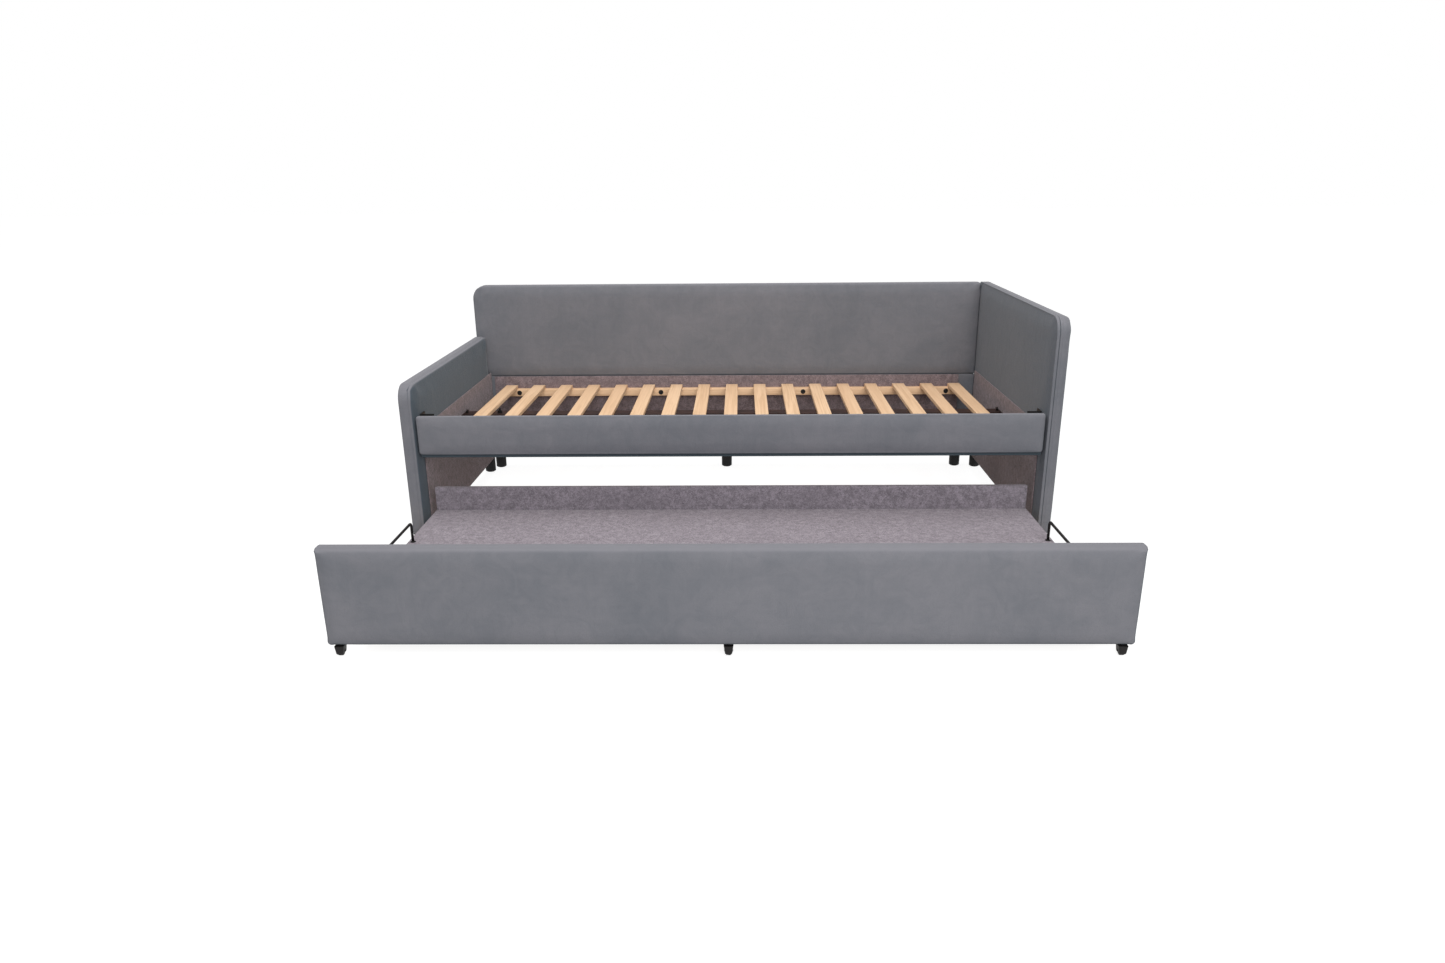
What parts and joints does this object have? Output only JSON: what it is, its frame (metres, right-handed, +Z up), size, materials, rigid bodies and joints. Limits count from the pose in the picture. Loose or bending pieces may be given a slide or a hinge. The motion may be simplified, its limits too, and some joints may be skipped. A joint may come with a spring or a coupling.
{
  "type": "trundle bed",
  "caption": "Upholstered daybed with a high back, one low arm, one tall arm and a slatted base, and a low roll-out trundle bed on casters beneath it.",
  "frame": {"origin": "on the floor, in the middle of the whole outline with the trundle pulled out as it stands at rest", "axes": "+X to the right along the bed, +Y from the trundle front to the back panel, +Z up"},
  "size_m": [2.041, 1.859, 0.736],
  "materials": {
    "velvet": "blue-grey short-pile velvet over foam, soft sheen at the edges",
    "felt": "heathered grey needle felt",
    "felt_board": "softwood board wrapped in heathered grey needle felt",
    "pine": "sanded pine, clear matt",
    "plywood": "plain plywood",
    "black_steel": "black powder coat, satin",
    "brown_steel": "dark brown powder coat, satin",
    "foot_plastic": "black moulded plastic, fine grain",
    "wheel_rubber": "black rubber tread"
  },
  "bodies": {
    "daybed": {"low_arm": "velvet", "tall_arm_pad": "velvet", "tall_arm_board": "velvet", "back_pad": "velvet", "back_board": "velvet", "low_arm_felt": "felt", "tall_arm_felt": "felt", "back_felt": "felt", "back_foot_left": "foot_plastic", "back_foot_middle": "foot_plastic", "back_foot_right": "foot_plastic", "low_arm_foot_front": "foot_plastic", "low_arm_foot_rear": "foot_plastic", "tall_arm_foot_front": "foot_plastic", "tall_arm_foot_rear": "foot_plastic", "front_rail_pad": "velvet", "front_rail_board": "velvet", "rail_bracket_left": "black_steel", "rail_bracket_right": "black_steel", "front_ledger": "pine", "rear_ledger": "pine", "centre_beam": "brown_steel", "slat_01": "pine", "slat_02": "pine", "slat_03": "pine", "slat_04": "pine", "slat_05": "pine", "slat_06": "pine", "slat_07": "pine", "slat_08": "pine", "slat_09": "pine", "slat_10": "pine", "slat_11": "pine", "slat_12": "pine", "slat_13": "pine", "slat_14": "pine", "slat_15": "pine", "slat_16": "pine", "slat_17": "pine"},
    "trundle": {"trundle_front_panel": "velvet", "trundle_deck": "plywood", "trundle_deck_felt": "felt", "trundle_back_stop": "felt_board", "trundle_rail_left": "pine", "trundle_rail_middle": "pine", "trundle_rail_right": "pine", "mattress_retainer_left": "black_steel", "mattress_retainer_right": "black_steel", "caster_fork_front_left": "black_steel", "caster_fork_front_middle": "black_steel", "caster_fork_front_right": "black_steel", "caster_fork_rear_left": "black_steel", "caster_fork_rear_middle": "black_steel", "caster_fork_rear_right": "black_steel"},
    "wheel_front_left": {"caster_wheel_front_left": "wheel_rubber"},
    "wheel_front_middle": {"caster_wheel_front_middle": "wheel_rubber"},
    "wheel_front_right": {"caster_wheel_front_right": "wheel_rubber"},
    "wheel_rear_left": {"caster_wheel_rear_left": "wheel_rubber"},
    "wheel_rear_middle": {"caster_wheel_rear_middle": "wheel_rubber"},
    "wheel_rear_right": {"caster_wheel_rear_right": "wheel_rubber"}
  },
  "joints": [
    {"name": "trundle_slide", "type": "slide", "parent": "daybed", "child": "trundle", "axis": [0, 1, 0], "range_m": [-0.1, 0.731]},
    {"name": "wheel_roll_front_left", "type": "hinge", "parent": "trundle", "child": "wheel_front_left", "pos_m": [-0.9875, -0.907, 0.013], "axis": [-1, 0, 0], "continuous": true},
    {"name": "wheel_roll_front_middle", "type": "hinge", "parent": "trundle", "child": "wheel_front_middle", "pos_m": [0, -0.907, 0.013], "axis": [-1, 0, 0], "continuous": true},
    {"name": "wheel_roll_front_right", "type": "hinge", "parent": "trundle", "child": "wheel_front_right", "pos_m": [0.9875, -0.907, 0.013], "axis": [-1, 0, 0], "continuous": true},
    {"name": "wheel_roll_rear_left", "type": "hinge", "parent": "trundle", "child": "wheel_rear_left", "pos_m": [-0.9235, -0.1452, 0.013], "axis": [-1, 0, 0], "continuous": true},
    {"name": "wheel_roll_rear_middle", "type": "hinge", "parent": "trundle", "child": "wheel_rear_middle", "pos_m": [-0.0045, -0.1452, 0.013], "axis": [-1, 0, 0], "continuous": true},
    {"name": "wheel_roll_rear_right", "type": "hinge", "parent": "trundle", "child": "wheel_rear_right", "pos_m": [0.9145, -0.1452, 0.013], "axis": [-1, 0, 0], "continuous": true}
  ],
  "couplings": [
    {"joint": "wheel_roll_front_left", "follows": "trundle_slide", "rad_per_m": 76.923},
    {"joint": "wheel_roll_front_middle", "follows": "trundle_slide", "rad_per_m": 76.923},
    {"joint": "wheel_roll_front_right", "follows": "trundle_slide", "rad_per_m": 76.923},
    {"joint": "wheel_roll_rear_left", "follows": "trundle_slide", "rad_per_m": 76.923},
    {"joint": "wheel_roll_rear_middle", "follows": "trundle_slide", "rad_per_m": 76.923},
    {"joint": "wheel_roll_rear_right", "follows": "trundle_slide", "rad_per_m": 76.923}
  ]
}
